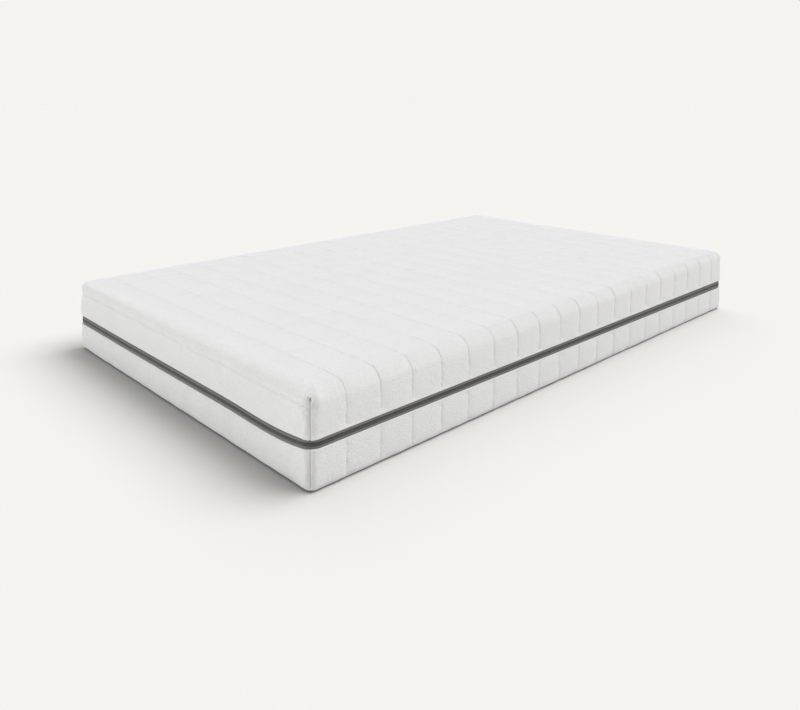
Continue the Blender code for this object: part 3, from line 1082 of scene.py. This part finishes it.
def slider_side(outline):
    """1 along the long side where the slider runs, and 0 from the corners on."""
    return 1 - smooth_step(outline[:, 0], -HALF_WIDTH + 0.006, -HALF_WIDTH + 0.03)


def tape_ring(name, zipper, cover, rows, material):
    """A woven tape round the mattress; rows are (height, outward) points of its section."""
    outline = plan_outline(0.0, cover.corner_radius + ZIP_WIDER_BY, TAPE_STEP)
    normal = outward(outline)
    lift = zip_wobble(zipper, outline[:, 0], outline[:, 1])
    distance = np.concatenate([[0], np.cumsum(np.linalg.norm(np.diff(outline, axis=0), axis=1))])
    sway = 0.00015 * ripple(distance[:, None], 0.12, 31) * (1 - slider_side(outline))
    rings = []
    for height, out in rows:
        flat = outline + normal * (out + sway[:, None] * 0.5)
        rings.append(np.column_stack([flat, height + lift + sway]))
    count, total = len(outline), len(rows)
    points = np.concatenate(rings)
    polygons, uv = [], []
    section = np.concatenate([[0], np.cumsum(np.hypot(*np.diff(np.array(rows), axis=0).T))])
    section = np.append(section, section[-1] + TAPE_THICKNESS)
    around = np.append(distance, distance[-1] + TAPE_STEP)
    for k in range(total):
        nearer, farther = k * count, ((k + 1) % total) * count
        for p in range(count):
            q = (p + 1) % count
            polygons.append((nearer + p, nearer + q, farther + q, farther + p))
            low, high = section[k], section[k + 1]
            uv += [(around[p], low), (around[p + 1], low), (around[p + 1], high), (around[p], high)]
    obj = mesh_object(name, points, polygons, np.array(uv))
    repair_normals(obj)
    obj.data.materials.append(material)
    return obj


def repair_normals(obj):
    """Turns a closed mesh's faces outward."""
    mesh = bmesh.new()
    mesh.from_mesh(obj.data)
    bmesh.ops.recalc_face_normals(mesh, faces=mesh.faces)
    mesh.to_mesh(obj.data)
    mesh.free()


def tape_section(sign, far):
    """A tape's section as (height, outward) points: the coil's bed, a flat weave, then the part
    that goes in behind the hem."""
    shape = (
        (0.0010, -0.0017), (0.0048, -0.0017), (0.0053, -0.0011), (0.0062, -0.0008),
        (0.0078, -0.0008), (0.0090, -0.0012), (0.0101, -0.0024), (0.0112, -0.0036),
    )
    front = [(MEETING_Z + sign * height, out) for height, out in shape] + [(far, -0.0040)]
    return front + [(height, out - TAPE_THICKNESS) for height, out in front[::-1]]


# ---------------------------------------------------------------- operators


class MATTRESS_OT_upper_cover(bpy.types.Operator):
    """Build the quilted upper half of the cover with its wadding, lining and stitches"""

    bl_idname = "mattress.upper_cover"
    bl_label = "Upper cover"

    def execute(self, context):
        end_drop = TOP_Z - context.scene.mattress_cover.end_line_z
        build_half(context, "top", "top", "top_cover", upper_depth, end_drop, 0.015)
        return {"FINISHED"}


class MATTRESS_OT_lower_cover(bpy.types.Operator):
    """Build the quilted lower half of the cover with its wadding, lining and stitches"""

    bl_idname = "mattress.lower_cover"
    bl_label = "Lower cover"

    def execute(self, context):
        build_half(context, "bottom", "base", "base_cover", lower_depth, None, 0.006)
        return {"FINISHED"}


def build_half(context, half, stitched, body, depth_of, end_drop, seam_drop):
    """One half of the cover: its cloth, pushed out by the filling, its layers and stitches.

    end_drop is how far the stitched line on each end wall is from the face, or None, and
    seam_drop is where the upright seams begin to hold the cloth.
    """
    cover = context.scene.mattress_cover
    facing = 1 if half == "top" else -1
    fine, coarse = cover_skin(cover, facing), cover_skin(cover, facing, coarse=True)
    lines = seam_lines(coarse, cover, end_drop)
    held = sewn_down(coarse, lines, seam_drop)
    puff = filled(coarse, depth_of(coarse, cover, lines), held, cover)
    lines = seam_lines(fine, cover, end_drop)
    depth = depth_of(fine, cover, lines, fine.spread_from(coarse, puff))
    lift = hem_lift(context.scene.mattress_zip, fine.drops[-1], facing)
    cover_layers(half, body, fine, coarse, depth, lift, cover)

    points = fine.moved(depth - STITCH_RISE)
    points[:, 2] += lift(fine)
    paths = quilting_paths(fine, points, cover, end_drop)
    settle(sewn(f"{stitched}_quilting_stitches", paths, cover), body, None)


def cover_layers(half, body, fine, coarse, depth, lift, cover):
    """The knitted face, the fibre filling and the backing of one half of the cover."""
    knit = knit_material(f"cover_knit_{half}", cover.knit_colour)
    behind = fine.deepest_near(depth)[fine.shared_with(coarse)] + cover.knit_thickness
    piece = closed_shell(f"{half}_quilted_knit", fine, depth, coarse, behind, knit, lift)
    settle(piece, body, f"{half}_cover_knit")
    stretched(fine, 0.0)

    # Where the stitching presses the front in, it draws the back of the wadding out a little
    front = behind + LAYER_GAP
    pulled = 0.4 * np.clip(front - WADDING_INSET - 0.0012, 0, 0.004)
    back = np.maximum(LINING_INSET - LAYER_GAP - pulled, front + THINNEST_WADDING)
    fibre = wadding_material(f"{half}_fibre", cover.wadding_colour)
    piece = closed_shell(f"{half}_fibre_wadding", coarse, front, coarse, back, fibre, lift)
    settle(piece, body, f"{half}_cover_wadding")

    front, back = back + LAYER_GAP, back + LAYER_GAP + cover.lining_thickness
    backing = lining_material(f"{half}_non_woven", cover.lining_colour)
    piece = closed_shell(f"{half}_backing", coarse, front, coarse, back, backing, lift)
    settle(piece, body, f"{half}_cover_lining")
    stretched(coarse, LINING_INSET)


def stretched(skin, inset):
    """Works out how far the cloth falls down that skin's walls, less the inset, and does nothing
    more with it.
    """
    wall = skin.fall[skin.wall_ids(len(skin.drops) - 1)].max() - inset


def settle(piece, body, node_name):
    """Hangs a finished piece on its body and hides the part of the frame that it stands for, if
    any.
    """
    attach(piece, body)
    if node_name:
        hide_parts(node_name)


class MATTRESS_OT_zip(bpy.types.Operator):
    """Build the two zip tapes and their interlocking coils"""

    bl_idname = "mattress.zip"
    bl_label = "Zip"

    def execute(self, context):
        cover = context.scene.mattress_cover
        zipper = context.scene.mattress_zip
        weave = tape_material(zipper.tape_colour)
        nylon = coil_material(zipper.coil_colour)
        tree = stitch_tree("coil_turns")
        for half, sign, body, far, knit in (
            ("upper", 1, "top_cover", TAPE_TOP_Z, "top_quilted_knit"),
            ("lower", -1, "base_cover", TAPE_BOTTOM_Z, "bottom_quilted_knit"),
        ):
            section = tape_section(sign, far)
            tape = tape_ring(f"{half}_tape", zipper, cover, section, weave)
            settle(tape, body, f"{half}_zip_tape")
            coil = self.coil(half, sign, zipper, cover, tree, nylon)
            settle(coil, body, f"{half}_zip_coil")
        metal = metal_material(zipper.metal_colour)
        for name in ("upper_end_stop", "lower_end_stop", "zip_slider_body", "zip_pull_tab"):
            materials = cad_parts[name].data.materials
            materials.clear()
            materials.append(metal)
        return {"FINISHED"}

    def coil(self, half, sign, zipper, cover, tree, material):
        """One row of turns, half a pitch from the other row's. The rows interlock, except on the
        slider's side, where they leave room for its post and stop short of where it parks."""
        radius = cover.corner_radius + ZIP_WIDER_BY
        outline = plan_outline(COIL_INSET, radius, zipper.tooth_pitch * 2)
        if sign < 0:
            outline = outline + (np.roll(outline, -1, axis=0) - outline) * 0.25
        lift = zip_wobble(zipper, outline[:, 0], outline[:, 1])
        apart = COIL_STANDS_OFF * slider_side(outline) - COIL_OVERLAP
        height = MEETING_Z + sign * (zipper.tooth_width / 2 + apart) + lift
        points = np.column_stack([outline, height])
        gap_low, gap_high = SLIDER_START_Y - MM, STOP_END_Y + MM
        in_gap = (points[:, 0] < 0) & (points[:, 1] > gap_low) & (points[:, 1] < gap_high)
        in_gap &= np.abs(points[:, 0] + HALF_WIDTH) < 0.01
        first = int(np.argmax(in_gap & ~np.roll(in_gap, -1))) + 1
        kept = np.roll(np.arange(len(points)), -first)
        kept = kept[~in_gap[kept]]
        guide = guide_lines(f"{half}_coil_guide", [points[kept]])
        return run_nodes(guide, tree, f"{half}_coil", {
            "Pitch": zipper.tooth_pitch,
            "Stitch length": zipper.tooth_pitch * 0.74,
            "Stitch width": zipper.tooth_height,
            "Stitch height": zipper.tooth_width,
            "Thread": material,
        })


class MATTRESS_OT_foam(bpy.types.Operator):
    """Build the memory foam layer and the grooved support core"""

    bl_idname = "mattress.foam"
    bl_label = "Foam"

    def execute(self, context):
        foam = context.scene.mattress_foam
        for slot, part, shape, shade, cell, pit in (
            ("memory_foam", "layer", "slab", foam.memory_colour, 0.0011, 0.009),
            ("support_foam", "core", "block", foam.support_colour, 0.0022, 0.014),
        ):
            name = f"{slot}_{shape}"
            piece = self.soft_copy(f"{slot}_{part}", name, context.scene.mattress_cover)
            piece.data.materials.append(foam_material(name, shade, cell, pit))
            settle(piece, "foam_core", f"{slot}_{part}")
        return {"FINISHED"}

    def soft_copy(self, node_name, name, cover):
        """The cut foam, divided, slightly uneven, and pressed in along its upper edge."""
        mesh = bmesh.new()
        mesh.from_mesh(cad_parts[node_name].data)
        bmesh.ops.remove_doubles(mesh, verts=mesh.verts, dist=1e-6)
        bmesh.ops.dissolve_limit(
            mesh, angle_limit=math.radians(1.0), verts=mesh.verts, edges=mesh.edges
        )
        for normal, half in ((Vector((1, 0, 0)), HALF_WIDTH), (Vector((0, 1, 0)), HALF_LENGTH)):
            for position in np.arange(-half + FOAM_STEP, half, FOAM_STEP):
                bmesh.ops.bisect_plane(
                    mesh, geom=mesh.verts[:] + mesh.edges[:] + mesh.faces[:],
                    plane_co=normal * float(position), plane_no=normal, dist=1e-5,
                )
        mesh.normal_update()
        points = np.array([vert.co for vert in mesh.verts])
        normals = np.array([vert.normal for vert in mesh.verts])
        depth = 0.0003 * (1 + ripple(points, 0.30, 41))
        eased = np.maximum(ease_depth(cover, points, normals[:, 2]), 0)
        depth += PRESSED_FOAM * eased * (points[:, 2] > PRESSED_FROM_Z)
        for vert, point in zip(mesh.verts, points - normals * depth[:, None]):
            vert.co = point
        made = bpy.data.meshes.new(name)
        mesh.to_mesh(made)
        mesh.free()
        made.shade_smooth()
        made.set_sharp_from_angle(angle=math.radians(35))
        return linked(name, made)


class MATTRESS_OT_stage(bpy.types.Operator):
    """Set up the floor, the soft studio light and the camera"""

    bl_idname = "mattress.stage"
    bl_label = "Stage"

    def execute(self, context):
        stage = context.scene.mattress_stage
        mesh = bmesh.new()
        bmesh.ops.create_grid(mesh, x_segments=8, y_segments=8, size=FLOOR_SIZE)
        data = bpy.data.meshes.new("studio_floor")
        mesh.to_mesh(data)
        mesh.free()
        floor = linked("studio_floor", data)
        data.materials.append(floor_material(stage.floor_colour))

        context.scene.view_settings.view_transform = "Standard"
        self.world(context)
        lit = {part: bpy.data.collections.new(f"lit_{part}") for part in ("floor", "mattress")}
        for collection in lit.values():
            collection.objects.link(floor)
        lit["mattress"].collection_objects[0].light_linking.link_state = "EXCLUDE"
        for name, part, *light in LAMPS:
            self.lamp(name, *light).light_linking.receiver_collection = lit[part]
        self.camera(context, stage)
        return {"FINISHED"}

    def world(self, context):
        """An even white dome, which the camera sees as a plain backdrop."""
        world = bpy.data.worlds.new("studio_light")
        context.scene.world = world
        world.use_nodes = True
        tree = world.node_tree
        dome = tree.nodes["Background"]
        dome.inputs["Color"].default_value = (*WHITE, 1.0)
        dome.inputs["Strength"].default_value = DOME_STRENGTH
        seen = node(tree, "ShaderNodeBackground", None, Color=BACKDROP_COLOUR, Strength=1.0)
        by_camera = node(tree, "ShaderNodeLightPath").outputs["Is Camera Ray"]
        mixed = node(
            tree, "ShaderNodeMixShader", None, Fac=by_camera, i1=dome.outputs[0],
            i2=seen.outputs[0],
        )
        tree.links.new(mixed.outputs[0], tree.nodes["World Output"].inputs["Surface"])

    def lamp(self, name, strength, spread, turn, rise):
        """A soft distant lamp. turn is 0 at the camera's right hand, and grows towards what the
        camera faces; rise is its height above the floor. Both are in degrees."""
        light = bpy.data.lights.new(name, "SUN")
        light.energy = strength
        light.angle = math.radians(spread)
        obj = linked(name, light)
        heading = bpy.context.scene.mattress_stage.camera_turn + math.radians(turn)
        rise = math.radians(rise)
        away = Vector((
            math.cos(heading) * math.cos(rise), math.sin(heading) * math.cos(rise), math.sin(rise)
        ))
        obj.rotation_euler = away.to_track_quat("Z", "Y").to_euler()
        obj.location = away * LAMP_DISTANCE
        return obj

    def camera(self, context, stage):
        data = bpy.data.cameras.new("studio_camera")
        data.sensor_width = 36.0
        data.lens, data.shift_x, data.shift_y = stage.lens, stage.shift_x, stage.shift_y
        camera = linked("studio_camera", data)
        camera.location = stage.camera_place
        camera.rotation_euler = (math.pi / 2 - stage.camera_tilt, 0.0, stage.camera_turn)
        context.scene.camera = camera


class MATTRESS_PT_panel(bpy.types.Panel):
    """Shows a button for each building step and the mattress's settings"""

    bl_idname = "MATTRESS_PT_panel"
    bl_label = "Quilted foam mattress"
    bl_space_type = "VIEW_3D"
    bl_region_type = "UI"
    bl_category = "Mattress"

    def draw(self, context):
        for operator in BUILD_ORDER:
            self.layout.operator(operator.bl_idname)
        for group in ("mattress_cover", "mattress_zip", "mattress_foam", "mattress_stage"):
            settings = getattr(context.scene, group)
            box = self.layout.box()
            for name in settings.bl_rna.properties.keys():
                if name not in ("rna_type", "name"):
                    box.prop(settings, name)


SETTINGS = {
    "mattress_cover": CoverSettings,
    "mattress_zip": ZipSettings,
    "mattress_foam": FoamSettings,
    "mattress_stage": StageSettings,
}
BUILD_ORDER = (
    MATTRESS_OT_stage,
    MATTRESS_OT_upper_cover,
    MATTRESS_OT_lower_cover,
    MATTRESS_OT_zip,
    MATTRESS_OT_foam,
)


def register():
    for group in SETTINGS.values():
        bpy.utils.register_class(group)
    for operator in BUILD_ORDER:
        bpy.utils.register_class(operator)
    bpy.utils.register_class(MATTRESS_PT_panel)
    for name, group in SETTINGS.items():
        setattr(bpy.types.Scene, name, bpy.props.PointerProperty(type=group))


def unregister():
    for name in SETTINGS:
        delattr(bpy.types.Scene, name)
    bpy.utils.unregister_class(MATTRESS_PT_panel)
    for operator in reversed(BUILD_ORDER):
        bpy.utils.unregister_class(operator)
    for group in SETTINGS.values():
        bpy.utils.unregister_class(group)


def main():
    register()
    for operator in BUILD_ORDER:
        group, name = operator.bl_idname.split(".")
        getattr(getattr(bpy.ops, group), name)()


if __name__ == "__main__":
    main()
